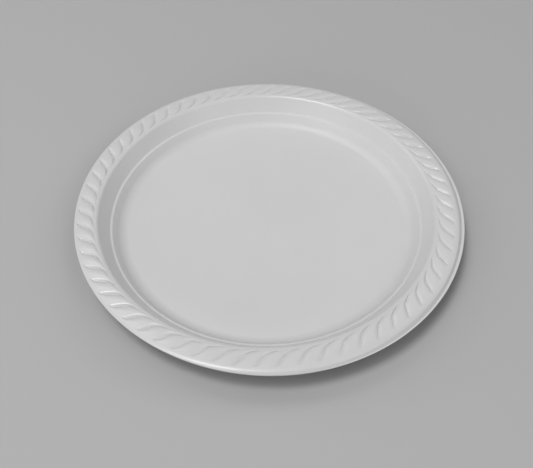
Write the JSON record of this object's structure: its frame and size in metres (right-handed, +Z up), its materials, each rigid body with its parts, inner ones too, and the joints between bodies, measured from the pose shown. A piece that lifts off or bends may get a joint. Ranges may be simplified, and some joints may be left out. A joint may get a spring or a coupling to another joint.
{
  "type": "disposable plastic dinner plate",
  "caption": "Round shallow plate of thin formed plastic, with a rope-twist rim band, a stepped wall round a flat well and a turned-down edge that ends in a narrow cut flange.",
  "frame": {"origin": "under the floor, at the middle of the plate's cut outline, in the plane it rests on", "axes": "+Z up, square to the floor; the mould axis stands 2.3 mm along -X from the origin, and the cut flange is widest on +X"},
  "size_m": [0.26, 0.26, 0.0193],
  "materials": {
    "white_plastic": "smooth white polystyrene with a soft gloss"
  },
  "bodies": {
    "root": {"plate": "white_plastic"}
  },
  "joints": []
}
